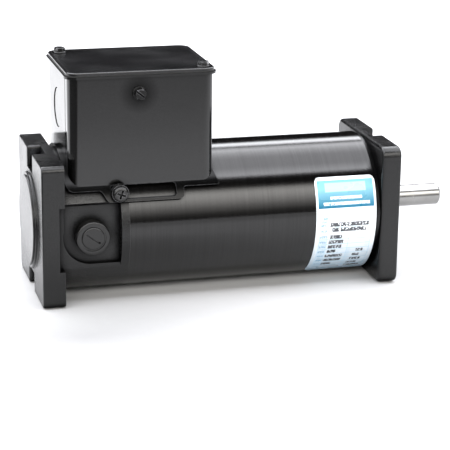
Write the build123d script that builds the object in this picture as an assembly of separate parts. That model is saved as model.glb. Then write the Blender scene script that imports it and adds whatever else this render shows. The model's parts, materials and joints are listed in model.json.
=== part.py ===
"""Fractional-horsepower permanent-magnet DC motor with square end bells and a conduit box on top.

Frame: +X along the drive shaft, +Z up, origin on the shaft axis in the plane of the drive-end face.
The near side is -Y and the far side +Y. All sizes in millimetres.
"""
import math
import os

from build123d import *

# ---- driving dimensions -------------------------------------------------
LENGTH = 205.0           # outer face of rear flange to drive-end face
FLANGE_SIDE = 80.0       # side of both square flanges
REAR_FLANGE_T = 12.5
FRONT_FLANGE_T = 11.3
BODY_R = 40.0            # outer radius of tube and rear end bell body
TUBE_WALL = 3.2
BELL_LEN = 48.5          # rear end bell length, outer face to tube
NECK_LEN = 2.2           # short neck between front flange and tube
BOLT_Z = 33.0            # through-bolt height above and below the axis
BOLT_R = 2.4
REAR_NOTCH_DEPTH = 7.5   # along X
SIDES = (-1, 1)          # the two signs of a mirrored pair

REAR_X = -LENGTH
JOINT_X = REAR_X + BELL_LEN               # rear end bell meets the tube
TUBE_FRONT_X = -(FRONT_FLANGE_T + NECK_LEN)
TUBE_RI = BODY_R - TUBE_WALL
SPIGOT_R = TUBE_RI - 0.05
SPIGOT_BORE_R = TUBE_RI - 3.0


def from_rear(distance):
    """X of a place measured forward from the rear face."""
    return REAR_X + distance


# Places shared by several pieces
BRUSH_X, BRUSH_Z = from_rear(28.0), -1.2
POCKET_FLOOR_Y = 32.4                     # brush pocket floor from the axis
TAB_SCREW_X, TAB_SCREW_Z = from_rear(43.4), 23.0
GROMMET_X, GROMMET_Y = from_rear(33.0), 14.0
WIRE_HOLE_R = 6.1
SADDLE_SCREW_X = from_rear(78.0)
SADDLE_SCREW_ANGLE = 25                   # tilt from the vertical, degrees


# ---- helpers ------------------------------------------------------------
def block(x0, x1, y0, y1, z0, z1):
    centre = Pos((x0 + x1) / 2, (y0 + y1) / 2, (z0 + z1) / 2)
    return centre * Box(abs(x1 - x0), abs(y1 - y0), abs(z1 - z0))


def rod_x(r, x0, x1, y=0.0, z=0.0):
    return Pos((x0 + x1) / 2, y, z) * Rot(0, 90, 0) * Cylinder(r, abs(x1 - x0))


def rod_y(r, y0, y1, x=0.0, z=0.0):
    return Pos(x, (y0 + y1) / 2, z) * Rot(90, 0, 0) * Cylinder(r, abs(y1 - y0))


def rod_z(r, z0, z1, x=0.0, y=0.0):
    return Pos(x, y, (z0 + z1) / 2) * Cylinder(r, abs(z1 - z0))


def tube_x(r_out, r_in, x0, x1):
    return rod_x(r_out, x0, x1) - rod_x(r_in, x0 - 1, x1 + 1)


def turned(points):
    """Revolves a closed (x, r) outline about the X axis."""
    outline = Wire.make_polygon([(x, 0, r) for x, r in points], close=True)
    return revolve(Face(outline), Axis.X, 360)


def prism_x(sketch, x0, x1):
    """Sketch whose axes are Y and Z, extruded in X."""
    return Pos(x0, 0, 0) * extrude(Plane.YZ * sketch, x1 - x0, dir=(1, 0, 0))


def rounded_z(x0, x1, half_y, r, z0, z1):
    """Rounded rectangle in XY, centred on y = 0, extruded in Z."""
    sketch = RectangleRounded(x1 - x0, 2 * half_y, r)
    return Pos((x0 + x1) / 2, 0, z0) * extrude(sketch, z1 - z0)


def polar(r, angle):
    """(y, z) at an angle in radians from +Y."""
    return r * math.cos(angle), r * math.sin(angle)


def rim(shape, axis, level):
    """Circular edges lying at one level along axis "X", "Y" or "Z"."""
    return [e for e in shape.edges().filter_by(GeomType.CIRCLE)
            if abs(getattr(e.center(), axis) - level) < 0.05]


def try_fillet(shape, edges, *radii):
    """First radius that works; the shape stays sharp if the kernel refuses them all."""
    for r in radii:
        try:
            out = fillet(edges, r)
            if out.volume > 0:
                return out
        except Exception:
            pass
    return shape


def group(shapes):
    return Compound(children=[solid for shape in shapes for solid in shape.solids()])


# ---- rear end bell ------------------------------------------------------
NOTCH_W = 16.4
EDGE_R = 1.5             # rounding of the cast notch edges
BOSS_R = 27.0            # round boss on the rear face
BOSS_H = 2.7
BELL_WALL = 4.0
BEARING_BORE_X = from_rear(2.8)   # floor of the rear bearing bore
POCKET_R = 15.9
POCKET_X1 = from_rear(44.0)
POCKET_TOP = 15.6

BOSS_OUTLINE = [  # (x, r)
    (REAR_X + 1, 0), (REAR_X + 1, BOSS_R + 1.0), (REAR_X, BOSS_R + 1.0),
    (REAR_X - 0.45, BOSS_R + 0.3), (REAR_X - 1.35, BOSS_R), (REAR_X - 1.75, BOSS_R - 0.5),
    (REAR_X - 1.75, BOSS_R - 1.6), (REAR_X - BOSS_H + 0.15, BOSS_R - 1.8),
    (REAR_X - BOSS_H, BOSS_R - 2.2), (REAR_X - BOSS_H, 0)]


def rear_notch(side):
    """Cutter for the bolt-head notch, with its rolled edges."""
    inner_z, outer_z = side * (BOSS_R + 1.6), side * 45
    x1 = REAR_X + REAR_NOTCH_DEPTH
    cut = block(REAR_X - 5, x1, -NOTCH_W / 2, NOTCH_W / 2, inner_z, outer_z)
    for edge in SIDES:
        y0 = edge * (NOTCH_W / 2 - 0.5)
        y1 = edge * (NOTCH_W / 2 + EDGE_R)
        flat_z = side * (FLANGE_SIDE / 2 - EDGE_R)
        face_roll = (block(REAR_X - 1, REAR_X + EDGE_R, y0, y1, inner_z, outer_z)
                     - rod_z(EDGE_R, side * 25, side * 46, REAR_X + EDGE_R, y1))
        flat_roll = (block(REAR_X - 1, x1, y0, y1, flat_z, outer_z)
                     - rod_x(EDGE_R, REAR_X - 2, x1 + 1, y1, flat_z))
        cut = cut + face_roll + flat_roll
    return cut


def rear_endbell():
    flange_x1 = REAR_X + REAR_FLANGE_T
    flange = prism_x(RectangleRounded(FLANGE_SIDE, FLANGE_SIDE, 3.2), REAR_X, flange_x1)
    flange = try_fillet(flange, flange.faces().sort_by(Axis.X)[0].edges(), 1.0, 0.6)
    bell = flange + rod_x(BODY_R, REAR_X + 1, JOINT_X)
    bell = bell + turned(BOSS_OUTLINE)
    # spigot that locates the tube
    bell = bell + rod_x(SPIGOT_R, JOINT_X - 1, JOINT_X + 4)
    # cavity, with blocks left for the brush holders
    cavity = (rod_x(BODY_R - BELL_WALL, flange_x1, JOINT_X + 0.01)
              + rod_x(SPIGOT_BORE_R, JOINT_X - 1, JOINT_X + 5))
    for side in SIDES:
        cavity = cavity - block(flange_x1 - 1, from_rear(47.2), side * 28.5, side * 45,
                                -20.0, 19.0)
    bell = bell - cavity
    # bearing housing, its bore and the shaft clearance
    bell = bell + rod_x(19.5, flange_x1 - 1, from_rear(14.8))
    bell = bell - rod_x(15.0, BEARING_BORE_X, from_rear(15.0))
    bell = bell - rod_x(9.0, from_rear(-0.2), from_rear(3.0))
    for side in SIDES:
        # notch, bolt hole and bolt passage through the spigot
        bell = bell - rear_notch(side)
        bell = bell - rod_x(BOLT_R + 0.25, REAR_X, flange_x1 + 2, 0, side * BOLT_Z)
        bell = bell - block(JOINT_X - 0.01, JOINT_X + 5, -8, 8, side * 28, side * 38)
    for side in SIDES:
        # brush pocket: shallow flat, deep part, drafted upper wall
        floor, outside = side * POCKET_FLOOR_Y, side * 45
        flat = block(from_rear(9.4), POCKET_X1, side * 35.2, outside, -19.4, 16.9)
        deep = (rod_y(POCKET_R, floor, outside, BRUSH_X, BRUSH_Z)
                + block(BRUSH_X, POCKET_X1, floor, outside, BRUSH_Z - POCKET_R, POCKET_TOP)
                + block(flange_x1, BRUSH_X, floor, outside, BRUSH_Z, POCKET_TOP))
        draft = make_face(Polyline((floor, 15.2), (floor, POCKET_TOP), (side * 36.6, 18.4),
                                   (side * 36.6, 15.2), close=True))
        bell = bell - flat - deep - prism_x(draft, flange_x1, POCKET_X1)
        bell = bell - rod_y(6.55, side * 20, outside, BRUSH_X, BRUSH_Z)
    for side in SIDES:
        bell = bell - rod_y(2.0, side * 24, side * 42, TAB_SCREW_X, TAB_SCREW_Z)
    return bell - rod_z(WIRE_HOLE_R, 28, 50, GROMMET_X, GROMMET_Y)


# ---- frame tube and magnets ---------------------------------------------
MAG_RI, MAG_RO = 27.0, 36.75
MAG_X0, MAG_X1 = -139, -45
MAG_HALF = 60.0          # half angle of each magnet, degrees


def frame_tube():
    tube = tube_x(BODY_R, TUBE_RI, JOINT_X, TUBE_FRONT_X)
    front_rim = [e for e in rim(tube, "X", TUBE_FRONT_X) if e.radius > BODY_R - 0.1]
    tube = try_fillet(tube, front_rim, 0.8)
    for side in SIDES:
        hole = rod_z(2.0, 30, 50, SADDLE_SCREW_X)
        tube = tube - Rot(side * SADDLE_SCREW_ANGLE, 0, 0) * hole
    return tube


def magnets():
    ring = tube_x(MAG_RO, MAG_RI, MAG_X0, MAG_X1)
    y, z = polar(60, math.radians(MAG_HALF))
    arcs = []
    for side in SIDES:
        sector = Polyline((0, 0), (side * y, z), (side * 80, 0), (side * y, -z), close=True)
        arcs.append(ring & prism_x(make_face(sector), -150, -30))
    return group(arcs)


# ---- front end bell and seal --------------------------------------------
FRONT_NOTCH_W = 18.4
FRONT_NOTCH_DEPTH = 6.6  # along X
HOLE_PCD = 73.0          # tapped holes in the drive-end face
HOLE_R = 2.1
HOLE_DEPTH = 8.0
SEAL_R = 7.5             # shaft radius under the seal lip
SEAL_OUTLINE = [  # (x, r)
    (-5.0, 10.95), (-1.2, 10.95), (-1.2, 9.6), (-2.4, 9.4),
    (-2.6, SEAL_R + 0.05), (-3.1, SEAL_R + 0.05), (-4.2, 8.7), (-5.0, 8.9)]


def front_endbell():
    bell = prism_x(RectangleRounded(FLANGE_SIDE, FLANGE_SIDE, 5.5), -FRONT_FLANGE_T, 0)
    bell = try_fillet(bell, bell.faces().sort_by(Axis.X)[-1].edges(), 1.4, 0.8)
    bell = try_fillet(bell, bell.faces().sort_by(Axis.X)[0].edges(), 2.2, 1.2)
    # neck and spigot
    bell = (bell + rod_x(BODY_R - 1.6, TUBE_FRONT_X, -FRONT_FLANGE_T + 1)
            + rod_x(SPIGOT_R, TUBE_FRONT_X - 4.5, TUBE_FRONT_X + 0.5))
    bell = bell - rod_x(SPIGOT_BORE_R, TUBE_FRONT_X - 6, -10.0)
    # bearing housing, then bearing, shaft and seal bores
    bell = bell + rod_x(22.0, -19.5, -9)
    bell = bell - rod_x(17.5, -21, -6.0) - rod_x(9.5, -7, 1) - rod_x(11.0, -5.0, 1)
    for side in SIDES:
        bell = bell - block(-FRONT_NOTCH_DEPTH, 1, -FRONT_NOTCH_W / 2, FRONT_NOTCH_W / 2,
                            side * 29.0, side * 45)
        bell = bell - rod_x(BOLT_R, -20, 1, 0, side * BOLT_Z)
        bell = bell - block(TUBE_FRONT_X - 6, TUBE_FRONT_X, -8, 8, side * 28, side * 38)
    for i in range(4):
        place = polar(HOLE_PCD / 2, math.radians(45 + 90 * i))
        bell = bell - rod_x(HOLE_R, -HOLE_DEPTH, 1, *place)
    return bell


# ---- shaft --------------------------------------------------------------
SHAFT_R = 6.35
SHAFT_EXT = 38.6
SEAT_R = 8.0             # shaft radius under the armature core
HUB_R = 7.0              # shaft radius under the commutator hub
SHAFT_COLLAR_R = 9.0
REAR_JOURNAL_R = 5.0
FRONT_BEARING_X = -17.0
SHAFT_OUTLINE = [  # (x, r)
    (-201.9, 0), (-201.9, 4.4), (-201.4, REAR_JOURNAL_R), (from_rear(13.5), REAR_JOURNAL_R),
    (from_rear(13.5), HUB_R), (-131, HUB_R), (-131, SEAT_R), (-50, SEAT_R),
    (-50, SHAFT_COLLAR_R), (FRONT_BEARING_X, SHAFT_COLLAR_R), (FRONT_BEARING_X, SEAL_R),
    (-0.4, SEAL_R), (-0.4, SHAFT_R), (SHAFT_EXT - 1.0, SHAFT_R),
    (SHAFT_EXT, SHAFT_R - 1.0), (SHAFT_EXT, 0)]


def shaft():
    """Stepped shaft with the circlip groove."""
    return turned(SHAFT_OUTLINE) - tube_x(5.5, 4.6, -201.35, -200.45)


def shaft_circlip():
    return tube_x(7.2, 4.62, -201.3, -200.5) - block(-202, -200, -2.0, 2.0, 0, 9)


# ---- ball bearings ------------------------------------------------------
REAR_BEARING_X = from_rear(4.5)
N_BALLS = 8


def bearing(tag, x0, width, bore_r, outer_r, ball_r):
    """The five pieces of a shielded ball bearing, by name."""
    x1, x_mid = x0 + width, x0 + width / 2
    pitch_r = (bore_r + outer_r) / 2
    inner_race_r = pitch_r - ball_r * 0.75
    outer_race_r = pitch_r + ball_r * 0.75
    groove = Pos(x_mid, 0, 0) * Rot(0, 90, 0) * Torus(pitch_r, ball_r + 0.05)
    inner = tube_x(inner_race_r, bore_r, x0, x1) - groove
    outer = tube_x(outer_r, outer_race_r, x0, x1) - groove
    for x in (x0, x1 - 0.9):
        outer = outer - tube_x(outer_race_r + 0.55, outer_race_r - 1, x, x + 0.9)
    shields = [tube_x(outer_race_r + 0.5, inner_race_r + 0.2, x, x + 0.3)
               for x in (x0 + 0.35, x1 - 0.65)]
    balls = []
    cage_half = ball_r + 0.75
    cage = tube_x(pitch_r + 0.45, pitch_r - 0.45, x_mid - cage_half, x_mid + cage_half)
    for i in range(N_BALLS):
        place = Pos(x_mid, *polar(pitch_r, 2 * math.pi * i / N_BALLS + 0.2))
        balls.append(place * Sphere(ball_r))
        cage = cage - place * Sphere(ball_r + 0.03)
    return {
        tag + "_bearing_outer": outer,
        tag + "_bearing_inner": inner,
        tag + "_bearing_shields": group(shields),
        tag + "_bearing_balls": group(balls),
        tag + "_bearing_cage": cage,
    }


def spring_washer():
    """Curved washer between the rear bearing and the bore floor."""
    bend_r = 63.0
    ring = tube_x(14.6, 10.8, BEARING_BORE_X, REAR_BEARING_X)
    bend = Pos(from_rear(2.82) + bend_r, 0, 0) * Rot(90, 0, 0)
    shell = bend * Cylinder(bend_r, 40) - bend * Cylinder(bend_r - 0.4, 41)
    return ring & shell & block(from_rear(2), from_rear(6), -16, 16, -16, 16)


# ---- armature -----------------------------------------------------------
CORE_X0, CORE_X1 = -127.0, -57.0
CORE_R = 26.2
N_SLOTS = 14
N_BARS = 28
COMM_R = 16.0
COMM_BORE_R = 10.5
COMM_X0, COMM_X1 = BRUSH_X - 8.0, BRUSH_X + 7.5
RISER_X = COMM_X1 + 2.4  # front face of the risers


def slot_prism(i, grow, overrun):
    """Slot i as a solid, offset outward by grow and overrunning each core end."""
    circles = (Pos(20.6, 0) * Circle(2.75 + grow)) + (Pos(15.6, 0) * Circle(1.95 + grow))
    profile = Rot(0, 0, 360.0 / N_SLOTS * i) * make_hull(circles.edges())
    return prism_x(profile, CORE_X0 - overrun, CORE_X1 + overrun)


def armature_core():
    core = tube_x(CORE_R, SEAT_R, CORE_X0, CORE_X1)
    for i in range(N_SLOTS):
        mouth = Rot(0, 0, 360.0 / N_SLOTS * i) * (Pos(24.5, 0) * Rectangle(6.0, 1.8))
        core = core - slot_prism(i, 0.0, 1)
        core = core - prism_x(mouth, CORE_X0 - 1, CORE_X1 + 1)
    return core


def end_turns(x0, x1, flip):
    """Bundle ring at one end of the core, lobed like separate coils."""
    w = x1 - x0
    outline = [(x0, 14.0), (x0, 23.2), (x0 + 0.45 * w, 24.6), (x0 + 0.8 * w, 23.2),
               (x1, 19.5), (x1, 15.5), (x0 + 0.7 * w, 12.6)]  # (x, r)
    if flip:
        outline = [(x1 - (x - x0), r) for x, r in outline]
    ring = turned(outline)
    ring = try_fillet(ring, ring.edges().filter_by(GeomType.CIRCLE), 1.4, 0.9, 0.5)
    for i in range(N_SLOTS):
        valley = polar(25.0, 2 * math.pi * (i + 0.5) / N_SLOTS)
        ring = ring - rod_x(1.3, x0 - 1, x1 + 1, *valley)
    return ring


def armature_windings():
    windings = (end_turns(CORE_X1 + 1.0, CORE_X1 + 15.0, False)
                + end_turns(CORE_X0 - 19.0, CORE_X0 - 1.0, True))
    for i in range(N_SLOTS):
        windings = windings + slot_prism(i, -0.18, 1.5)
    # wires from the risers to the rear end turns
    for i in range(N_BARS):
        angle = 2 * math.pi * (i + 0.5) / N_BARS
        start = Vector(RISER_X + 0.08, *polar(16.9, angle))
        run = Vector(CORE_X0 - 18.0, *polar(18.2, angle + 0.22)) - start
        windings = windings + Solid.make_cylinder(0.55, run.length, Plane(origin=start, z_dir=run))
    return windings - rod_x(30, COMM_X0, RISER_X + 0.05)


def commutator_bars():
    bars = (tube_x(COMM_R, COMM_BORE_R, COMM_X0, COMM_X1)
            + tube_x(17.7, COMM_BORE_R, COMM_X1, RISER_X))
    for i in range(N_BARS):
        gap = block(COMM_X0 - 1, RISER_X + 1, 14.6, 19, -0.25, 0.25)
        bars = bars - Rot(360.0 / N_BARS * i, 0, 0) * gap
    return bars


# ---- brush gear, one set per side ---------------------------------------
BRUSH_W = 6.4            # brush is square across
RING_Y = 40.0            # outer end of the brush holder ring
CAP_Y = 40.4             # outer end of the brush cap
STEM_R = 6.5


def brush_rod(r, side, y0, y1):
    """Cylinder on the brush axis, y given as distance from the shaft axis."""
    return rod_y(r, side * y0, side * y1, BRUSH_X, BRUSH_Z)


def brush_block(half, side, y0, y1):
    """Square bar on the brush axis."""
    return block(BRUSH_X - half, BRUSH_X + half, side * y0, side * y1,
                 BRUSH_Z - half, BRUSH_Z + half)


def brush_holder(side):
    head = brush_rod(9.3, side, POCKET_FLOOR_Y, RING_Y)
    head = try_fillet(head, rim(head, "Y", side * RING_Y), 0.8)
    holder = head + brush_rod(STEM_R, side, 19.0, POCKET_FLOOR_Y + 1)
    holder = holder - brush_block(BRUSH_W / 2 + 0.06, side, 18, 35.0)
    holder = holder - brush_rod(6.35, side, 34.6, 42)
    return holder - brush_rod(7.2, side, RING_Y - 0.7, 42)


def brush_cap(side):
    cap = brush_rod(6.3, side, 34.7, CAP_Y)
    cap = try_fillet(cap, rim(cap, "Y", side * CAP_Y), 0.7)
    cap = cap - Pos(BRUSH_X, side * CAP_Y, BRUSH_Z) * Rot(0, 37, 0) * Box(9.4, 3.4, 1.15)
    return cap - brush_rod(2.9, side, 34.0, 36.4)


def brush(side):
    bar = brush_block(BRUSH_W / 2, side, 14.0, 29.0)
    bar = bar - rod_x(COMM_R + 0.04, BRUSH_X - 9, BRUSH_X + 9)
    return bar - (brush_rod(4.0, side, 28.2, 30) - brush_rod(1.6, side, 28.0, 30))


def brush_spring(side):
    """Compression spring from brush shoulder to cap."""
    y0, y1 = 28.55, 36.0
    helix = Helix(pitch=1.5, height=y1 - y0, radius=2.3)
    section = Plane(origin=helix @ 0, z_dir=helix % 0) * Circle(0.3)
    coil = sweep(section, path=helix, is_frenet=True)
    return Pos(BRUSH_X, side * y0, BRUSH_Z) * Rot(-side * 90, 0, 0) * coil


def brush_terminal(side):
    """Brass clip round the holder stem, with an upright tab."""
    clip = brush_rod(7.15, side, 22.0, 26.0) - brush_rod(STEM_R, side, 21, 27)
    return clip + block(BRUSH_X - 2.2, BRUSH_X + 2.2, side * 23.6, side * 24.4,
                        BRUSH_Z + 6.8, BRUSH_Z + 13.0)


# ---- through-bolts ------------------------------------------------------
BOLT_SEAT_X = REAR_X + REAR_NOTCH_DEPTH
WASHER_X = BOLT_SEAT_X - 1.3              # rear face of the washer
BOLT_HEAD_H = 3.4


def through_bolts():
    bolts = []
    for side in SIDES:
        z = side * BOLT_Z
        shank = rod_x(BOLT_R, WASHER_X, -4.2, 0, z)
        head = Pos(0, 0, z) * prism_x(RegularPolygon(4.35, 6), WASHER_X - BOLT_HEAD_H, WASHER_X)
        cone = turned([(BOLT_SEAT_X - 6, 0), (BOLT_SEAT_X - 6, 2.3), (BOLT_SEAT_X - 3.0, 6.5),
                       (BOLT_SEAT_X + 1, 6.5), (BOLT_SEAT_X + 1, 0)])
        head = head & (Pos(0, 0, z) * cone)
        bolts.append(shank + head)
    return group(bolts)


def bolt_washers():
    """Split washers under the bolt heads."""
    washers = []
    for side in SIDES:
        z = side * BOLT_Z
        x0, x1 = BOLT_SEAT_X - 2, BOLT_SEAT_X + 1
        washer = (rod_x(4.3, WASHER_X, BOLT_SEAT_X, 0, z)
                  - rod_x(BOLT_R + 0.02, x0, x1, 0, z))
        washers.append(washer - block(x0, x1, 0, 6, z - 0.4, z + 0.4))
    return group(washers)


# ---- saddle under the conduit box ---------------------------------------
SADDLE_R = 42.2          # outer radius of the saddle sheet
SADDLE_X0, SADDLE_X1 = from_rear(14.3), from_rear(100.2)
SADDLE_Z = 24.0          # lower edge of the saddle sheet
TAB_Z = 18.0             # lower edge of the side tabs
TAB_X0, TAB_X1 = from_rear(37.0), from_rear(79.6)
SLOT_X0, SLOT_X1 = from_rear(38.6), from_rear(75.2)
SLOT_Z0, SLOT_Z1 = 19.3, 26.3
SADDLE_OUTLINE = [  # (x, z), side view
    (SADDLE_X0, 60), (SADDLE_X0, SADDLE_Z), (TAB_X0 - 3.4, SADDLE_Z), (TAB_X0, TAB_Z),
    (TAB_X1, TAB_Z), (TAB_X1, SADDLE_Z), (SADDLE_X1, SADDLE_Z),
    (from_rear(97.3), 31.5), (from_rear(97.3), 60)]
# radii for outline points 1 to 6, in order
SADDLE_CORNER_R = (4.6, 2.6, 2.6, 2.8, 1.2, 0.8)


def conduit_saddle():
    profile = make_face(Polyline(*SADDLE_OUTLINE, close=True))
    for (x, z), r in zip(SADDLE_OUTLINE[1:7], SADDLE_CORNER_R):
        corner = min(profile.vertices(), key=lambda v: (v.X - x) ** 2 + (v.Y - z) ** 2)
        profile = fillet(corner, r)
    saddle = (tube_x(SADDLE_R, BODY_R, SADDLE_X0, SADDLE_X1)
              & extrude(Plane.XZ * profile, 50, both=True))
    slot = (Pos((SLOT_X0 + SLOT_X1) / 2, (SLOT_Z0 + SLOT_Z1) / 2)
            * RectangleRounded(SLOT_X1 - SLOT_X0, SLOT_Z1 - SLOT_Z0, 1.9))
    saddle = saddle - extrude(Plane.XZ * slot, 50, both=True)
    saddle = saddle - rod_z(WIRE_HOLE_R, 30, 50, GROMMET_X, GROMMET_Y)
    for side in SIDES:
        hole = rod_z(2.1, 30, 50, SADDLE_SCREW_X)
        saddle = saddle - Rot(side * SADDLE_SCREW_ANGLE, 0, 0) * hole
    return saddle


# Dished washers and cross-recess pan screws that clamp the side tabs
HEAD_Y = 38.9            # underside of the screw head
HEAD_TOP_Y = HEAD_Y + 2.6


def tab_washers():
    washers = []
    for side in SIDES:
        washer = (rod_y(4.75, side * (HEAD_Y - 3.4), side * HEAD_Y, TAB_SCREW_X, TAB_SCREW_Z)
                  - rod_x(SADDLE_R + 0.02, TAB_SCREW_X - 8, TAB_SCREW_X + 8))
        washers.append(washer - rod_y(2.2, side * 30, side * 42, TAB_SCREW_X, TAB_SCREW_Z))
    return group(washers)


def tab_screws():
    screws = []
    for side in SIDES:
        top = side * HEAD_TOP_Y
        screw = rod_y(4.3, side * HEAD_Y, top, TAB_SCREW_X, TAB_SCREW_Z)
        screw = try_fillet(screw, rim(screw, "Y", top), 1.7, 1.2)
        screw = screw + rod_y(1.95, side * 29.5, side * (HEAD_Y + 0.2), TAB_SCREW_X, TAB_SCREW_Z)
        for angle in (20, 110):
            recess = Rot(0, angle, 0) * Box(5.0, 3.0, 1.15)
            screw = screw - Pos(TAB_SCREW_X, top, TAB_SCREW_Z) * recess
        screws.append(screw)
    return group(screws)


def saddle_screws():
    """Screws inside the box that hold the saddle to the tube."""
    top = SADDLE_R + 2.6
    screws = []
    for side in SIDES:
        screw = (rod_z(1.95, 37.0, SADDLE_R + 0.1, SADDLE_SCREW_X)
                 + rod_z(3.9, SADDLE_R + 0.02, top, SADDLE_SCREW_X))
        for size_x, size_y in ((5.0, 1.0), (1.0, 5.0)):
            screw = screw - Pos(SADDLE_SCREW_X, 0, top) * Box(size_x, size_y, 2.0)
        screws.append(Rot(side * SADDLE_SCREW_ANGLE, 0, 0) * screw)
    return group(screws)


# ---- conduit box --------------------------------------------------------
BOX_X0, BOX_X1 = from_rear(16.6), from_rear(97.2)
BOX_Y = 32.8             # half width
BOX_Z0, BOX_Z1 = 26.4, 87.0
SHEET = 1.4
KNOCKOUT_Y, KNOCKOUT_Z, KNOCKOUT_R = 3.0, 63.0, 11.1
GROUND_X, GROUND_Z = from_rear(55.2), 76.9
EAR_HALF = 4.5
# lid screws and their ears: x, y, rear end of the ear
LID_SCREWS = (
    (from_rear(22.4), 27.2, BOX_X0 + 0.7),
    (from_rear(92.4), -25.6, from_rear(92.4) - EAR_HALF),
)


def box_outline(grow, r, z0, z1):
    """Rounded plan of the box grown by grow on every side, extruded in Z."""
    return rounded_z(BOX_X0 - grow, BOX_X1 + grow, BOX_Y + grow, r, z0, z1)


def conduit_box():
    box = (box_outline(0, 6.0, BOX_Z0, BOX_Z1)
           - box_outline(-SHEET, 4.6, BOX_Z0 + SHEET, BOX_Z1 + 5))
    lip = box_outline(1.7, 7.0, BOX_Z1 - 1.2, BOX_Z1) - box_outline(-SHEET, 4.6, 60, BOX_Z1 + 5)
    box = box + lip
    box = box - rod_x(SADDLE_R, BOX_X0 - 3, BOX_X1 + 3)
    for x, y, ear_x0 in LID_SCREWS:
        ear = block(ear_x0, x + EAR_HALF, y - 4.6, y + 4.6, BOX_Z1 - 3.0, BOX_Z1 - 0.6)
        box = box + (ear & box_outline(-0.5, 5.4, 60, 100))
        box = box - rod_z(1.8, 60, 90, x, y)
    # knock-out holes in both end walls
    for wall in (BOX_X0, BOX_X1):
        box = box - rod_x(KNOCKOUT_R, wall - 3, wall + 3, KNOCKOUT_Y, KNOCKOUT_Z)
    # lap seam in the rear wall
    box = box - block(BOX_X0 - 1, BOX_X0 + 0.45, -22.3, -21.1, BOX_Z0, BOX_Z1 - 1.2)
    # ground screw hole in the near wall
    return box - rod_y(1.95, -BOX_Y - 3, -BOX_Y + 3, GROUND_X, GROUND_Z)


def knockout_discs():
    return group([rod_x(KNOCKOUT_R - 0.55, x0, x0 + 0.9, KNOCKOUT_Y, KNOCKOUT_Z)
                  for x0 in (BOX_X0 + 0.35, BOX_X1 - 1.25)])


def ground_screw():
    """Slotted hex-flange screw that earths the box."""
    flange_y, hex_y, top_y = -BOX_Y - 0.9, -BOX_Y - 0.5, -BOX_Y - 4.4
    screw = rod_y(3.9, flange_y, -BOX_Y, GROUND_X, GROUND_Z)
    screw = try_fillet(screw, rim(screw, "Y", flange_y), 0.5, 0.3)
    hexagon = Plane.XZ * (Rot(0, 0, 10) * RegularPolygon(3.3, 6))
    head = Pos(GROUND_X, hex_y, GROUND_Z) * extrude(hexagon, hex_y - top_y)
    blank = rod_y(3.4, hex_y, top_y, GROUND_X, GROUND_Z)
    screw = screw + (head & chamfer(rim(blank, "Y", top_y), 0.8))
    screw = screw - Pos(GROUND_X, top_y, GROUND_Z) * Rot(0, 38, 0) * Box(8.0, 2.6, 0.95)
    return screw + rod_y(1.9, hex_y, -BOX_Y + 8.0, GROUND_X, GROUND_Z)


# ---- gasket, lid and lid screws -----------------------------------------
LID_Z0 = BOX_Z1 + 0.6    # top of the gasket
LID_Z1 = LID_Z0 + 1.5
LID_FACE_Z = LID_Z1 - 0.45                # recessed face of the lid


def lid_gasket():
    gasket = box_outline(1.0, 6.6, BOX_Z1, LID_Z0) - box_outline(-4, 3.0, 80, 95)
    for x, y, _ in LID_SCREWS:
        gasket = gasket - rod_z(2.4, 80, 95, x, y)
    return gasket


def conduit_lid():
    lid = box_outline(0.7, 6.4, LID_Z0, LID_Z1)
    lid = try_fillet(lid, lid.faces().sort_by(Axis.Z)[-1].edges(), 0.6, 0.4)
    lid = lid - box_outline(-1.3, 5.0, LID_FACE_Z, LID_Z1 + 2)
    for x, y, _ in LID_SCREWS:
        lid = lid - rod_z(2.1, 80, 95, x, y) - rod_z(4.1, LID_FACE_Z, 95, x, y)
    return lid


def lid_screws():
    """Slotted hex screws with a round flange."""
    flange_z, top_z = LID_FACE_Z + 0.8, LID_FACE_Z + 3.0
    screws = []
    for x, y, _ in LID_SCREWS:
        screw = rod_z(3.7, LID_FACE_Z, flange_z, x, y)
        screw = try_fillet(screw, rim(screw, "Z", flange_z), 0.45)
        blank = rod_z(3.3, LID_FACE_Z, top_z, x, y)
        head = ((Pos(x, y, LID_FACE_Z) * extrude(RegularPolygon(3.2, 6), 3.0))
                & chamfer(rim(blank, "Z", top_z), 0.6))
        screw = screw + head
        screw = screw - Pos(x, y, top_z) * Rot(0, 0, 30) * Box(8, 0.9, 1.6)
        screws.append(screw + rod_z(1.75, LID_FACE_Z - 8.0, LID_FACE_Z + 0.1, x, y))
    return group(screws)


# ---- grommet and two leads with crimp connectors ------------------------
LEAD_R = 1.25
LEAD_END_X = GROMMET_X + 38
NEAR_END = (-6.0, 55.0)  # (y, z) of the lead ends
FAR_END = (8.0, 63.0)
# lead centre lines: x from the grommet axis, y, z
BRUSH_DX = BRUSH_X - GROMMET_X
NEAR_PATH = [
    (BRUSH_DX, -25.7, BRUSH_Z + 12.0), (BRUSH_DX + 1.5, -24.0, 18.0), (-1, -16.0, 25.0),
    (0, -4.0, 26.6), (0, 6.5, 26.6), (0, 11.2, 29.0), (0, 12.3, 33.0), (0, 12.3, 38.5),
    (0, 12.3, 44.5), (5, 4.0, 54.0), (18, -9.0, 57.0), (30, -8.0, 55.2), (38, *NEAR_END)]
FAR_PATH = [
    (BRUSH_DX, 25.7, BRUSH_Z + 12.0), (BRUSH_DX + 1.5, 24.0, 18.0), (-0.5, 19.5, 25.0),
    (0, 16.4, 29.5), (0, 15.8, 34.0), (0, 15.8, 39.0), (0, 15.8, 45.0),
    (6, 20.0, 58.0), (20, 18.0, 65.0), (31, 10.5, 63.4), (38, *FAR_END)]


def lead_grommet():
    grommet = (rod_z(6.0, 30.5, 43.2, GROMMET_X, GROMMET_Y)
               + rod_z(8.0, 41.95, 43.4, GROMMET_X, GROMMET_Y))
    return grommet - rod_z(4.2, 20, 60, GROMMET_X, GROMMET_Y)


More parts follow.
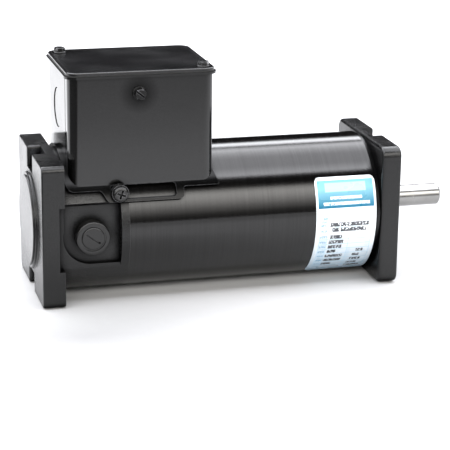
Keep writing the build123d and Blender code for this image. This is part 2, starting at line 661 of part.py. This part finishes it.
def lead(points):
    path = Spline(*[Vector(GROMMET_X + dx, y, z) for dx, y, z in points])
    section = Plane(origin=path @ 0, z_dir=path % 0) * Circle(LEAD_R)
    return sweep(section, path=path)


def lead_terminals():
    """Crimp barrels with flat, drilled tongues."""
    x = LEAD_END_X + 0.15
    terminals = []
    for y, z in (NEAR_END, FAR_END):
        barrel = rod_x(2.6, x + 0.9, x + 12, y, z)
        barrel = try_fillet(barrel, list(barrel.edges().filter_by(GeomType.CIRCLE)), 0.8)
        terminal = barrel + block(x + 11.5, x + 21, y - 3.2, y + 3.2, z - 0.4, z + 0.4)
        terminals.append(terminal - rod_z(1.9, z - 2, z + 2, x + 16.8, y))
    return group(terminals)


# ---- wrap-round label ---------------------------------------------------
LABEL_X0, LABEL_X1 = -49.8, -14.2
LABEL_A0, LABEL_A1 = -62.5, 36.0          # degrees from the near side, up positive


def rating_label():
    half_height = BODY_R * math.sin(math.radians((LABEL_A1 - LABEL_A0) / 2))
    patch = Box(LABEL_X1 - LABEL_X0, 30, 2 * half_height)
    patch = fillet(patch.edges().filter_by(Axis.Y), 2.6)
    patch = (Rot(-(LABEL_A0 + LABEL_A1) / 2, 0, 0)
             * (Pos((LABEL_X0 + LABEL_X1) / 2, -30, 0) * patch))
    return tube_x(BODY_R + 0.16, BODY_R + 0.01, LABEL_X0 - 1, LABEL_X1 + 1) & patch


# ---- build and write one STEP per piece ---------------------------------
PIECES = (
    rear_endbell, frame_tube, magnets, front_endbell, shaft, shaft_circlip, spring_washer,
    armature_core, armature_windings, commutator_bars, through_bolts, bolt_washers,
    conduit_saddle, tab_washers, tab_screws, saddle_screws, conduit_box, knockout_discs,
    ground_screw, lid_gasket, conduit_lid, lid_screws, lead_grommet, lead_terminals,
    rating_label)
BRUSH_PIECES = (brush_holder, brush_cap, brush, brush_spring, brush_terminal)

nodes = {make.__name__: make() for make in PIECES}
for side, tag in zip(SIDES, ("near", "far")):
    for make in BRUSH_PIECES:
        nodes[make.__name__ + "_" + tag] = make(side)
nodes |= bearing("front", FRONT_BEARING_X, 11.0, SEAL_R, 17.5, 2.98)
nodes |= bearing("rear", REAR_BEARING_X, 9.0, REAR_JOURNAL_R, 15.0, 2.38)
nodes["shaft_seal"] = turned(SEAL_OUTLINE)
nodes["commutator_hub"] = tube_x(COMM_BORE_R, HUB_R, COMM_X0 - 1.2, RISER_X + 0.4)
nodes["lead_near"] = lead(NEAR_PATH)
nodes["lead_far"] = lead(FAR_PATH)

os.makedirs("parts", exist_ok=True)
for name, shape in nodes.items():
    # a boolean that leaves several solids may return a list
    if isinstance(shape, (list, ShapeList)):
        shape = Compound(children=list(shape))
    shape.label = name
    export_step(shape, os.path.join("parts", name + ".step"))
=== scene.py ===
# A brushed motor with a conduit box, painted black and set on a pale studio sheet. The shaft
# runs along X, the front faces -Y and Z is up; lengths are in metres.
import json
import math

import bpy
import bmesh
from mathutils import Matrix, Vector


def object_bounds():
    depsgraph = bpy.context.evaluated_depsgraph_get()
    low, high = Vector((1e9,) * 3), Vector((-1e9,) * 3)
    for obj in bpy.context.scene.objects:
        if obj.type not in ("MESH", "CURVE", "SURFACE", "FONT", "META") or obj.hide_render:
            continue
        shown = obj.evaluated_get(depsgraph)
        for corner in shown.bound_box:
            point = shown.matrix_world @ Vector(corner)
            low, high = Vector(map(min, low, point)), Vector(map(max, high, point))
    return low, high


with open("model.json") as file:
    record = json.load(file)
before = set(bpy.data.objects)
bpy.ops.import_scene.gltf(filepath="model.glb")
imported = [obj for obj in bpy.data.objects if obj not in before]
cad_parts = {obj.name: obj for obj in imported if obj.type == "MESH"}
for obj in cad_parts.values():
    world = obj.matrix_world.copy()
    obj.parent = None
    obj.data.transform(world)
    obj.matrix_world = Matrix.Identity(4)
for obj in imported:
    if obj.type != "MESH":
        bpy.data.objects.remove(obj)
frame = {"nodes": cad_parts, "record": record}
cad_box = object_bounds()
scene = bpy.context.scene

UNIT = (0.0, 1.0)
MID = (0.3, 0.7)            # the span most noise values fall in
UPPER_MID = (0.35, 0.7)     # the same, a little biased towards the darker color


# ------------------------------------------------------------ node graphs
def rgb(red, green, blue):
    return (red, green, blue, 1.0)


def shade(base, factor, lift=0.0):
    """A base color made darker or lighter, held at 1 or below."""
    return rgb(*[min(1.0, channel * factor + lift) for channel in base])


class Graph:
    """Builds nodes in a cleared tree; values may be numbers, tuples or sockets."""

    def __init__(self, tree):
        self.tree = tree
        tree.nodes.clear()

    def node(self, kind, **settings):
        node = self.tree.nodes.new(kind)
        for key, value in settings.items():
            setattr(node, key, value)
        return node

    def feed(self, socket, value):
        if isinstance(value, bpy.types.NodeSocket):
            self.tree.links.new(value, socket)
        else:
            socket.default_value = value

    def calc(self, operation, *values):
        node = self.node("ShaderNodeMath", operation=operation)
        for socket, value in zip(node.inputs, values):
            self.feed(socket, value)
        return node.outputs[0]

    def times(self, first, second):
        return self.calc("MULTIPLY", first, second)

    def plus(self, first, second):
        return self.calc("ADD", first, second)

    def remap(self, value, span=UNIT, to=UNIT):
        """Carry the input span onto another; either may run downwards."""
        node = self.node("ShaderNodeMapRange")
        node.inputs["From Min"].default_value, node.inputs["From Max"].default_value = span
        node.inputs["To Min"].default_value, node.inputs["To Max"].default_value = to
        self.feed(node.inputs["Value"], value)
        return node.outputs[0]

    def separate(self, vector):
        node = self.node("ShaderNodeSeparateXYZ")
        self.feed(node.inputs[0], vector)
        return node.outputs


class Surface(Graph):
    """A material with one Principled shader, textured in object coordinates."""

    def __init__(self, name):
        self.material = bpy.data.materials.new(name)
        self.material.use_nodes = True
        super().__init__(self.material.node_tree)
        output = self.node("ShaderNodeOutputMaterial")
        self.shader = self.node("ShaderNodeBsdfPrincipled")
        self.feed(output.inputs[0], self.shader.outputs[0])
        self.place = self.node("ShaderNodeTexCoord").outputs["Object"]

    def noise(self, scale, detail=3.0, rough=0.5, vector=None):
        node = self.node("ShaderNodeTexNoise")
        node.inputs["Scale"].default_value = scale
        node.inputs["Detail"].default_value = detail
        node.inputs["Roughness"].default_value = rough
        self.feed(node.inputs["Vector"], vector or self.place)
        return node.outputs[0]

    def stretched_noise(self, stretch, detail=3.0, rough=0.6, shift=(0, 0, 0)):
        """Noise with its own frequency along each axis."""
        node = self.node("ShaderNodeMapping")
        node.inputs["Scale"].default_value = stretch
        node.inputs["Location"].default_value = shift
        self.feed(node.inputs["Vector"], self.place)
        return self.noise(scale=1.0, detail=detail, rough=rough, vector=node.outputs[0])

    def mix(self, factor, first, second):
        node = self.node("ShaderNodeMix", data_type="RGBA")
        for index, value in ((0, factor), (6, first), (7, second)):
            self.feed(node.inputs[index], value)
        return node.outputs[2]

    def bump(self, height, strength, distance):
        node = self.node("ShaderNodeBump")
        node.inputs["Strength"].default_value = strength
        node.inputs["Distance"].default_value = distance
        self.feed(node.inputs["Height"], height)
        return node.outputs[0]

    def edge(self, radius):
        """0 on flats, 1 on convex and concave edges."""
        bevel = self.node("ShaderNodeBevel", samples=6)
        bevel.inputs["Radius"].default_value = radius
        geometry = self.node("ShaderNodeNewGeometry")
        dot = self.node("ShaderNodeVectorMath", operation="DOT_PRODUCT")
        self.feed(dot.inputs[0], bevel.outputs[0])
        self.feed(dot.inputs[1], geometry.outputs["Normal"])
        bend = self.calc("SUBTRACT", 1.0, dot.outputs["Value"])
        return self.remap(bend, span=(0.02, 0.25))

    def openness(self, reach, span):
        """0 deep in a corner or groove, 1 out in the open."""
        occlusion = self.node("ShaderNodeAmbientOcclusion", samples=8)
        occlusion.inputs["Distance"].default_value = reach
        return self.remap(occlusion.outputs["AO"], span)

    def finish(self, **inputs):
        """Set the shader's inputs, spaces written as underscores."""
        for key, value in inputs.items():
            self.feed(self.shader.inputs[key.replace("_", " ")], value)
        return self.material


# -------------------------------------------------------------- materials
SCREW_HALO_CENTER = (-0.1498, -0.0335, 0.0769)     # centre of a painted dark halo: the earth screw on the conduit box
SCREW_HALO_RADII = (0.0032, 0.0115)                # painted shadow and reflection of the screw: full inside, none outside
BOX_SHADE_HEIGHTS = (0.045, 0.086)              # painted shade: the box's gloss falls towards the top between these heights


def painted(name, base, rough, grain_scale, grain, edge_wear_and_highlight, gloss,
            gloss_in_shade=0.30, reach=0.006, open_span=(0.35, 0.85), box_shade=False):
    """Black paint: fine grain, uneven gloss, paler edges that are partly wear and partly a
    painted highlight, and painted shade in the grooves.

    grain is the bump strength, gloss the specular level, and gloss_in_shade the share of
    gloss left in the corners, where the cut in gloss is painted shade.
    """
    g = Surface(name)
    fine = g.noise(scale=grain_scale, detail=4.0, rough=0.6)
    medium = g.noise(scale=grain_scale * 0.22)
    broad = g.noise(scale=28.0, detail=2.0)
    edge_breakup = g.noise(scale=420.0, detail=4.0, rough=0.7)
    # paler edges: partly real wear, partly a painted highlight
    wear_and_highlight = g.times(g.edge(radius=0.0007), g.remap(edge_breakup, (0.42, 0.62), to=(0.25, 1.0)))
    # painted shade: gloss is cut in corners and grooves, wherever occlusion is found
    unshaded = g.openness(reach, open_span)
    # painted shade on the conduit box: a dark halo round the earth screw, and darker towards the
    # top
    if box_shade:
        distance = g.node("ShaderNodeVectorMath", operation="DISTANCE")
        g.feed(distance.inputs[0], g.place)
        g.feed(distance.inputs[1], SCREW_HALO_CENTER)
        unshaded = g.times(unshaded, g.remap(distance.outputs["Value"], SCREW_HALO_RADII, to=(0.02, 1.0)))
        height = g.separate(g.place)[2]
        unshaded = g.times(unshaded, g.remap(height, BOX_SHADE_HEIGHTS, to=(1.0, 0.70)))
    color = g.mix(g.remap(broad, UPPER_MID), shade(base, 0.85), shade(base, 1.25))
    color = g.mix(g.times(g.times(wear_and_highlight, edge_wear_and_highlight), unshaded), color, rgb(0.19, 0.19, 0.2))
    roughness = g.plus(g.remap(broad, MID, to=(rough - 0.04, rough + 0.05)),
                       g.remap(fine, MID, to=(-0.035, 0.035)))
    height = g.plus(g.times(fine, 0.6), g.times(medium, 0.7))
    specular = g.times(g.remap(unshaded, to=(gloss * gloss_in_shade, gloss)),
                       g.remap(fine, MID, to=(0.93, 1.07)))
    return g.finish(Base_Color=color, Roughness=roughness,
                    Normal=g.bump(height, strength=grain, distance=0.00025),
                    Coat_Roughness=0.12, Specular_IOR_Level=specular)


def turned_black(name):
    """Gloss black over fine turning marks that ring the X axis."""
    g = Surface(name)
    fine = g.stretched_noise((5200.0, 7.0, 7.0), detail=2.0)
    medium = g.stretched_noise((1500.0, 16.0, 16.0))
    fleck = g.noise(scale=900.0, rough=0.6)
    broad = g.noise(scale=22.0, detail=2.0)
    edge = g.edge(radius=0.0006)
    color = g.mix(g.remap(broad, UPPER_MID),
                  rgb(0.0012, 0.0011, 0.0011), rgb(0.0020, 0.0018, 0.0017))
    # paler edges: painted edge highlight
    color = g.mix(g.times(edge, 0.12), color, rgb(0.16, 0.16, 0.17))
    roughness = g.plus(g.remap(broad, MID, to=(0.085, 0.115)),
                       g.remap(medium, MID, to=(-0.015, 0.03)))
    height = g.plus(g.times(fine, 0.9), g.plus(g.times(medium, 0.8), g.times(fleck, 0.5)))
    # painted shade: gloss is cut in corners and grooves, wherever occlusion is found
    unshaded = g.openness(reach=0.005, span=UNIT)
    specular = g.times(g.remap(unshaded, (0.35, 0.85), to=(0.12, 0.5)),
                       g.remap(medium, MID, to=(0.90, 1.10)))
    return g.finish(Base_Color=color, Roughness=roughness,
                    Normal=g.bump(height, strength=0.26, distance=0.00010),
                    Specular_IOR_Level=specular)


def metal(name, base, rough, stretch, strength):
    """Bare metal with a directional grain and darker spots."""
    g = Surface(name)
    grain = g.stretched_noise(stretch)
    broad = g.noise(scale=60.0)
    spots = g.noise(scale=380.0, detail=5.0, rough=0.7)
    color = g.mix(g.remap(broad, MID), shade(base, 0.86), rgb(*base))
    color = g.mix(g.remap(spots, (0.6, 0.75), to=(0.0, 0.35)), color, shade(base, 0.55))
    roughness = g.plus(g.remap(grain, MID, to=(rough - 0.06, rough + 0.08)),
                       g.remap(broad, MID, to=(-0.03, 0.03)))
    return g.finish(Base_Color=color, Metallic=1.0, Roughness=roughness,
                    Normal=g.bump(grain, strength=strength, distance=0.00008))


def moulded(name, base, rough, grain_scale, strength):
    """Plastic, rubber or pressed powder: even grain and paler edges."""
    g = Surface(name)
    grain = g.noise(scale=grain_scale, detail=4.0, rough=0.6)
    broad = g.noise(scale=45.0)
    edge = g.edge(radius=0.0005)
    color = g.mix(g.remap(broad, MID), shade(base, 0.8), shade(base, 1.2))
    # paler edges: painted edge highlight
    color = g.mix(g.times(edge, 0.35), color, shade(base, 2.5, lift=0.04))
    roughness = g.plus(g.remap(grain, MID, to=(rough - 0.05, rough + 0.06)),
                       g.remap(broad, MID, to=(-0.03, 0.03)))
    return g.finish(Base_Color=color, Roughness=roughness,
                    Normal=g.bump(grain, strength=strength, distance=0.0001))


# ------------------------------------------------------------------ label
# The film wraps round the X axis. Across runs 0 to 1 along X; down runs 0 to 1 by
# the angle about X, measured upwards from the front.
LABEL_X = (-0.0498, -0.0142)
LABEL_ANGLES = (math.radians(36.0), math.radians(-62.5))
RULE_ROWS = (0.36, 0.425, 0.475, 0.535, 0.585, 0.635, 0.69, 0.75, 0.81, 0.87)
RULE_COLUMNS = (0.20, 0.56, 0.93, 0.07)
NAME_ROWS = (0.345, 0.375, 0.405, 0.455, 0.51, 0.56, 0.61, 0.665, 0.72, 0.78, 0.84, 0.90)
# Filled-in values: row centre, left end, right end
LEFT_VALUES = (
    (0.401, 0.235, 0.88), (0.447, 0.27, 0.84), (0.513, 0.245, 0.45),
    (0.562, 0.235, 0.48), (0.612, 0.235, 0.46), (0.664, 0.235, 0.38),
    (0.722, 0.22, 0.51), (0.780, 0.21, 0.51), (0.842, 0.21, 0.37))
RIGHT_VALUES = (
    (0.664, 0.72, 0.84), (0.722, 0.68, 0.80), (0.780, 0.66, 0.84),
    (0.842, 0.63, 0.80), (0.895, 0.62, 0.88))
INK = rgb(0.02, 0.022, 0.03)
RULE_BLUE = rgb(0.28, 0.50, 0.66)
MARGIN_BLUE = rgb(0.36, 0.52, 0.64)
BAND_PRINT = rgb(0.85, 0.92, 0.96)


def around(center, half):
    return (center - half, center + half)


def label_film(name):
    """Printed film: blue head band, ruled grid and rows of illegible marks."""
    g = Surface(name)
    x, y, z = g.separate(g.place)
    film_across = g.remap(x, LABEL_X)
    film_down = g.remap(g.calc("ARCTAN2", z, g.times(y, -1.0)), LABEL_ANGLES)

    def block(across, down):
        """Mask that is 1 inside a rectangle of the film."""
        inside = [g.calc("COMPARE", value, (start + end) / 2, abs(end - start) / 2)
                  for value, (start, end) in ((film_across, across), (film_down, down))]
        return g.times(*inside)

    def marks(across, down, pitch, seed, threshold):
        """A block broken up by noise so that it reads as small print."""
        broken = g.stretched_noise((pitch, 900.0, 900.0), detail=1.0, rough=0.5,
                                   shift=(seed, seed * 1.7, 0.0))
        return g.times(block(across, down), g.calc("GREATER_THAN", broken, threshold))

    soft = g.noise(scale=120.0)
    film = g.mix(g.remap(soft, MID), rgb(0.78, 0.82, 0.86), rgb(0.80, 0.84, 0.88))
    # painted shade in a cool tint, deepening to the foot of the film where it faces down
    film = g.mix(g.remap(film_down, (0.42, 1.0), to=(0.0, 0.85)), film, rgb(0.17, 0.28, 0.38))

    def lay(mask, color, opacity=1.0):
        nonlocal film
        film = g.mix(g.times(mask, opacity), film, color)

    # fine grid of rules
    for row in RULE_ROWS:
        lay(block((0.07, 0.93), around(row, 0.0028)), RULE_BLUE, opacity=0.65)
    for column in RULE_COLUMNS:
        lay(block(around(column, 0.005), (0.50, 0.94)), RULE_BLUE, opacity=0.6)
    # blue band at the head, deeper at its foot, with a blank plate and two lines of print
    band = g.mix(g.remap(film_down, (0.10, 0.25)),
                 rgb(0.13, 0.36, 0.46), rgb(0.012, 0.14, 0.24))
    lay(block((0.035, 0.965), (0.030, 0.262)), band)
    lay(block((0.16, 0.84), (0.052, 0.128)), rgb(0.34, 0.55, 0.62), opacity=0.85)
    for across, down, seed in (((0.24, 0.77), (0.166, 0.190), 3.0),
                               ((0.12, 0.90), (0.212, 0.238), 7.0)):
        lay(marks(across, down, pitch=2600.0, seed=seed, threshold=0.42),
            BAND_PRINT, opacity=0.85)
    # tinted columns, then field names down the left edge
    lay(block((0.07, 0.20), (0.50, 0.94)), MARGIN_BLUE, opacity=0.35)
    lay(block((0.56, 0.62), (0.63, 0.94)), MARGIN_BLUE, opacity=0.30)
    for i, row in enumerate(NAME_ROWS):
        lay(marks((0.08, 0.19), around(row, 0.011), pitch=3400.0, seed=11.0 + i,
                  threshold=0.46), rgb(0.14, 0.30, 0.46), opacity=0.85)
    # filled-in values in dark ink: table, half height, first seed, opacity
    for values, half, first_seed, opacity in ((LEFT_VALUES, 0.0175, 31.0, 0.95),
                                              (RIGHT_VALUES, 0.0165, 91.0, 0.93)):
        for i, (row, left, right) in enumerate(values):
            lay(marks((left, right), around(row, half), pitch=1150.0,
                      seed=first_seed + 5 * i, threshold=0.41), INK, opacity)
    # foot line
    lay(block((0.035, 0.965), (0.935, 0.985)), rgb(0.16, 0.30, 0.42), opacity=0.55)
    # the added number makes the whole film duller or glossier
    roughness = g.plus(g.remap(soft, MID, to=(0.24, 0.32)), 0.0)
    grain = g.noise(scale=700.0, rough=0.6)
    return g.finish(Base_Color=film, Roughness=roughness,
                    Normal=g.bump(grain, strength=0.05, distance=0.0001))


# -------------------------------------------------------- material choice
# Keyed by CAD material slot, or by piece for the pieces in OWN_MATERIAL.
OWN_MATERIAL = {"conduit_lid", "ground_screw", "commutator_bars"}
PAINTS = {
    "cast_black": dict(
        name="cast_black_paint", base=(0.0014, 0.0014, 0.0015), rough=0.25, grain_scale=2100.0,
        grain=0.60, edge_wear_and_highlight=0.14, gloss=0.45, gloss_in_shade=0.06, open_span=(0.45, 0.90)),
    "box_black": dict(
        name="box_black_paint", base=(0.0014, 0.0014, 0.0014), rough=0.13, grain_scale=1300.0,
        grain=0.03, edge_wear_and_highlight=0.08, gloss=0.56, gloss_in_shade=0.25, reach=0.007, box_shade=True),
    "conduit_lid": dict(
        name="lid_black_paint", base=(0.0024, 0.0024, 0.0027), rough=0.19, grain_scale=1500.0,
        grain=0.14, edge_wear_and_highlight=0.6, gloss=0.55),
    "saddle_black": dict(
        name="saddle_black", base=(0.0010, 0.0010, 0.0010), rough=0.14, grain_scale=1800.0,
        grain=0.06, edge_wear_and_highlight=0.30, gloss=0.16),
    # the bright rims on these screws are a painted highlight
    "screw_black": dict(
        name="black_oxide_screw", base=(0.003, 0.003, 0.003), rough=0.14, grain_scale=3500.0,
        grain=0.12, edge_wear_and_highlight=1.3, gloss=0.55, gloss_in_shade=0.12, reach=0.003),
    "ground_screw": dict(
        name="blackened_earth_screw", base=(0.002, 0.002, 0.002), rough=0.20,
        grain_scale=3500.0, grain=0.12, edge_wear_and_highlight=0.7, gloss=0.28, gloss_in_shade=0.12, reach=0.003),
}
# key, material name, base color, roughness, grain frequency along X Y Z, bump strength
METALS = (
    ("shaft_steel", "ground_steel_shaft", (0.29, 0.287, 0.28), 0.19, (2600.0, 30.0, 30.0), 0.34),
    ("zinc_steel", "zinc_plated_steel", (0.66, 0.68, 0.72), 0.30, (900.0, 900.0, 900.0), 0.2),
    ("spring_steel", "spring_steel", (0.42, 0.42, 0.44), 0.32, (1500.0, 1500.0, 1500.0), 0.2),
    ("lamination_steel", "lamination_steel", (0.42, 0.43, 0.46), 0.42, (3200.0, 12.0, 12.0), 0.8),
    ("copper", "varnished_copper", (0.72, 0.33, 0.16), 0.32, (300.0, 2200.0, 2200.0), 0.7),
    ("commutator_bars", "commutator_copper", (0.78, 0.42, 0.24), 0.28, (3200.0, 40.0, 40.0), 0.4),
    ("bearing_steel", "bearing_steel", (0.78, 0.79, 0.81), 0.14, (1800.0, 40.0, 40.0), 0.15),
    ("cage_steel", "pressed_cage_steel", (0.6, 0.6, 0.6), 0.34, (1100.0, 1100.0, 1100.0), 0.2),
    ("brass", "terminal_brass", (0.82, 0.62, 0.28), 0.28, (1200.0, 1200.0, 1200.0), 0.2),
)
# key, material name, base color, roughness, grain scale, bump strength
MOULDINGS = (
    ("phenolic", "moulded_phenolic", (0.0022, 0.0020, 0.0019), 0.20, 1800.0, 0.08),
    ("seal_rubber", "black_rubber", (0.006, 0.006, 0.006), 0.62, 1400.0, 0.35),
    ("carbon", "carbon_graphite", (0.03, 0.03, 0.032), 0.5, 2400.0, 0.5),
    ("ferrite", "ferrite_magnet", (0.05, 0.05, 0.055), 0.55, 1300.0, 0.5),
    ("lead_red", "lead_red_pvc", (0.45, 0.02, 0.018), 0.38, 900.0, 0.12),
    ("lead_black", "lead_black_pvc", (0.015, 0.015, 0.015), 0.38, 900.0, 0.12),
)


def build_materials():
    materials = {key: painted(**paint) for key, paint in PAINTS.items()}
    materials["gloss_black"] = turned_black("turned_gloss_black")
    for key, *values in METALS:
        materials[key] = metal(*values)
    for key, *values in MOULDINGS:
        materials[key] = moulded(*values)
    materials["label"] = label_film("label_film")
    return materials


def dress_pieces(materials):
    slot_of = {part["node"]: part["material_slot"] for part in frame["record"]["subparts"]}
    for name, piece in frame["nodes"].items():
        material = materials[name if name in OWN_MATERIAL else slot_of[name]]
        if len(piece.material_slots) == 0:
            piece.data.materials.append(material)
        else:
            for slot in piece.material_slots:
                slot.material = material


# ----------------------------------------------------------------- camera
CAMERA_TARGET = Vector((-0.1027, 0.0, 0.0))
CAMERA_DISTANCE = 0.997425
CAMERA_SHIFT_RIGHT = 0.0101556
CAMERA_SHIFT_DOWN = 0.0097743
CAMERA_AZIMUTH = math.radians(-15.40)      # negative stands to the left of the front
CAMERA_ELEVATION = math.radians(16.97)
CAMERA_ROLL = math.radians(0.78)
CAMERA_LENS = 138.72                       # mm, on a sensor 36 mm wide


def add_camera():
    across, rise = math.cos(CAMERA_ELEVATION), math.sin(CAMERA_ELEVATION)
    # the camera's own axes; backward points from the target to the camera
    backward = Vector((math.sin(CAMERA_AZIMUTH) * across,
                       -math.cos(CAMERA_AZIMUTH) * across, rise))
    level_right = Vector((math.cos(CAMERA_AZIMUTH), math.sin(CAMERA_AZIMUTH), 0.0))
    level_up = backward.cross(level_right).normalized()
    cosine, sine = math.cos(CAMERA_ROLL), math.sin(CAMERA_ROLL)
    right = level_right * cosine + level_up * sine
    up = level_up * cosine - level_right * sine
    place = (CAMERA_TARGET + backward * CAMERA_DISTANCE
             + right * CAMERA_SHIFT_RIGHT - up * CAMERA_SHIFT_DOWN)

    data = bpy.data.cameras.new("cam")
    data.sensor_width = 36.0
    data.lens = CAMERA_LENS
    data.clip_start = 0.01
    data.clip_end = 60.0
    camera = bpy.data.objects.new("cam", data)
    scene.collection.objects.link(camera)
    rows = [(right[i], up[i], backward[i], place[i]) for i in range(3)]
    camera.matrix_world = Matrix((*rows, (0, 0, 0, 1)))
    scene.camera = camera


# ------------------------------------------------------------------ floor
FLOOR_SIDES = 24
FLOOR_GAP = 0.0004          # below the lowest point of the CAD
FLOOR_RINGS = (             # radius, height
    (0.001, 0.0), (1.5, 0.0), (4.0, 0.0), (7.5, 0.0), (8.0, -0.05))
FLOOR_TONE = 0.47


def floor_paper():
    """Pale sheet with a painted soft shadow, areas darkened only in reflections, and one glowing
    area.
    """
    g = Surface("floor_paper")
    grain = g.noise(scale=180.0)
    x, y, _ = g.separate(g.place)
    # darker far in front and on a card to the left, but only in reflections:
    # the camera sees the sheet without these two
    front_fall = g.remap(y, (-0.28, -0.50), to=(1.0, 0.70))
    card = g.times(g.remap(x, (-0.27, -0.33)), g.remap(y, (0.10, 0.04)))
    dark_card = g.remap(card, to=(1.0, 0.10))
    seen = g.node("ShaderNodeLightPath").outputs["Is Camera Ray"]
    dim = g.calc("MAXIMUM", g.times(front_fall, dark_card), seen)
    # painted soft shadow near the motor, an oval darkest at its centre: offsets over its half
    # width and half depth
    shadow_dx = g.calc("DIVIDE", g.calc("SUBTRACT", x, -0.19), 0.13)
    shadow_dy = g.calc("DIVIDE", g.calc("SUBTRACT", y, -0.085), 0.075)
    from_center = g.calc("SQRT", g.plus(g.times(shadow_dx, shadow_dx), g.times(shadow_dy, shadow_dy)))
    painted_shadow = g.remap(from_center, to=(0.60, 1.0))
    tone = g.times(g.times(dim, painted_shadow), g.remap(grain, MID, to=(FLOOR_TONE, FLOOR_TONE * 1.02)))
    gray = g.node("ShaderNodeCombineColor")
    for i in range(3):
        g.feed(gray.inputs[i], tone)
    # bright card lying to the left, behind
    glow = g.times(g.remap(x, (-0.205, -0.235)), g.remap(y, (0.0, 0.12)))
    return g.finish(Base_Color=gray.outputs[0], Roughness=0.7, Specular_IOR_Level=0.15,
                    Emission_Color=rgb(0.98, 0.985, 1.0), Emission_Strength=g.times(glow, 0.66))


def add_floor():
    """A round sheet whose rim turns down."""
    top = cad_box[0].z - FLOOR_GAP
    turns = [2 * math.pi * i / FLOOR_SIDES for i in range(FLOOR_SIDES)]
    sheet = bmesh.new()
    rings = [[sheet.verts.new((radius * math.cos(turn), radius * math.sin(turn), top + height))
              for turn in turns] for radius, height in FLOOR_RINGS]
    sheet.faces.new(rings[0])
    for inner, outer in zip(rings, rings[1:]):
        for i in range(FLOOR_SIDES):
            after = (i + 1) % FLOOR_SIDES
            sheet.faces.new((inner[i], outer[i], outer[after], inner[after]))
    mesh = bpy.data.meshes.new("floor")
    sheet.to_mesh(mesh)
    sheet.free()
    floor = bpy.data.objects.new("floor", mesh)
    scene.collection.objects.link(floor)
    mesh.materials.append(floor_paper())


# ----------------------------------------------------------- studio light
# The sky is a ramp of soft panels: 0 degrees is the front horizon, 90 straight up
# and 180 the back horizon. Each entry is an angle and a brightness.
WARM_TINT = (1.02, 1.0, 0.965)
WARM_PANELS = (
    (0.0, 0.02), (2.0, 0.02), (8.0, 0.07), (17.0, 0.30), (27.0, 0.68), (33.0, 0.90),
    (39.0, 0.98), (44.0, 0.62), (48.0, 0.06), (52.0, 0.0), (61.0, 0.0))
COOL_TINT = (0.975, 0.985, 1.03)
COOL_PANELS = (
    (64.0, 0.10), (68.0, 1.26), (74.0, 1.00), (82.0, 0.72), (102.0, 0.66), (114.0, 0.90),
    (123.0, 1.16), (127.0, 0.95), (129.5, 0.25), (133.5, 0.25), (136.0, 1.50),
    (143.5, 1.42), (147.0, 0.12), (151.0, 0.0), (180.0, 0.0))
PANEL_SCALE = 0.6           # keeps the ramp's colors below 1
SKY_STRENGTH = 10.2
ROOM_STRENGTH = 0.012       # the dim room, in every direction
BACKDROP_STRENGTH = 1.2     # the plain white that the camera sees


def add_studio():
    world = bpy.data.worlds.new("studio")
    scene.world = world
    world.use_nodes = True
    g = Graph(world.node_tree)

    def background(color, strength):
        node = g.node("ShaderNodeBackground")
        g.feed(node.inputs[0], color)
        g.feed(node.inputs[1], strength)
        return node.outputs[0]

    x, y, z = g.separate(g.node("ShaderNodeTexCoord").outputs["Generated"])
    turn = g.calc("DIVIDE", g.calc("ARCTAN2", z, g.times(y, -1.0)), math.pi)
    ramp = g.node("ShaderNodeValToRGB")
    g.feed(ramp.inputs[0], turn)
    stops = ramp.color_ramp.elements
    while len(stops) > 1:
        stops.remove(stops[-1])
    # the one stop left already stands at 0 and takes the first panel
    for tint, panels in ((WARM_TINT, WARM_PANELS), (COOL_TINT, COOL_PANELS)):
        for angle, brightness in panels:
            stop = stops[0] if angle == 0.0 else stops.new(angle / 180.0)
            stop.color = shade(tint, brightness * PANEL_SCALE)

    # the panels end some way out to the left and right, where a dim room takes over
    within = g.remap(g.calc("ABSOLUTE", x), (0.80, 0.93), to=(1.0, 0.0))
    above = g.calc("GREATER_THAN", z, 0.0)
    sky = background(ramp.outputs[0], g.times(g.times(within, above), SKY_STRENGTH))
    # the room is brighter far to the left
    left = g.remap(g.times(x, -1.0), (0.80, 0.95), to=(0.0, 0.22))
    room = background(rgb(0.98, 0.99, 1.0), g.plus(g.times(left, SKY_STRENGTH), ROOM_STRENGTH))
    light = g.node("ShaderNodeAddShader")
    g.feed(light.inputs[0], sky)
    g.feed(light.inputs[1], room)

    choice = g.node("ShaderNodeMixShader")
    g.feed(choice.inputs[0], g.node("ShaderNodeLightPath").outputs["Is Camera Ray"])
    g.feed(choice.inputs[1], light.outputs[0])
    g.feed(choice.inputs[2], background(rgb(1, 1, 1), BACKDROP_STRENGTH))
    g.feed(g.node("ShaderNodeOutputWorld").inputs[0], choice.outputs[0])


dress_pieces(build_materials())
add_camera()
add_floor()
add_studio()

scene.view_settings.view_transform = "Standard"
scene.view_settings.look = "None"
scene.view_settings.exposure = 0.0
scene.view_settings.gamma = 1.0
